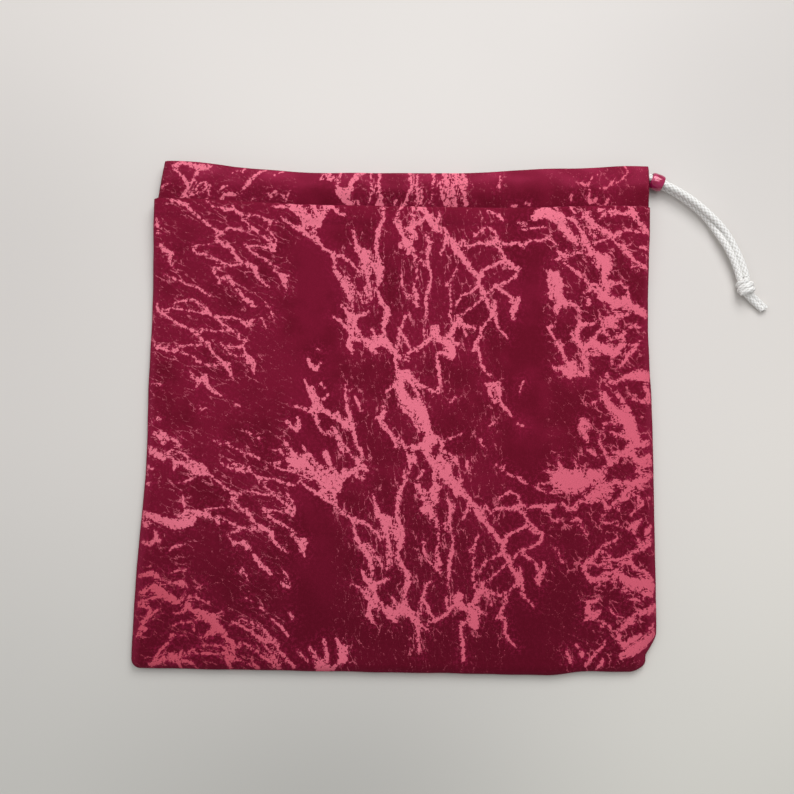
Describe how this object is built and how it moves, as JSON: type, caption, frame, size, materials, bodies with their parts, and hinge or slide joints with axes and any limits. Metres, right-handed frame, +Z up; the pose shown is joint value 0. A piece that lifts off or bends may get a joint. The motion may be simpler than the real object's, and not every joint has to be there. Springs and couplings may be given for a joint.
{
  "type": "kinchaku drawstring pouch",
  "caption": "Flat cotton drawstring pouch lying on its back, with a sewn cord channel round its mouth, a knotted braided cord and a sliding stopper bead.",
  "frame": {"origin": "on the surface that the pouch lies on, under the middle of the cloth, the cord and its bead left out", "axes": "+X across the pouch, towards the side where the cord comes out; +Y towards the mouth; +Z up, out of the front panel"},
  "size_m": [0.3534, 0.2871, 0.0158],
  "materials": {
    "print_cotton": "woven cotton print, dark crimson with pink marbled veins",
    "cotton_cord": "white braided cotton cord, matt",
    "crimson_bead": "glossy crimson, slightly pearly"
  },
  "bodies": {
    "pouch": {"front_panel": "print_cotton", "back_panel": "print_cotton", "mouth_casing": "print_cotton", "drawstring": "cotton_cord", "drawstring_knot": "cotton_cord"},
    "bead": {"stopper_bead": "crimson_bead"}
  },
  "joints": [
    {"name": "bead_along_cord", "type": "hinge", "parent": "pouch", "child": "bead", "pos_m": [0.11867, 0.06157, 0.0053], "axis": [0, 0, -1], "range_deg": [0, 51]}
  ]
}
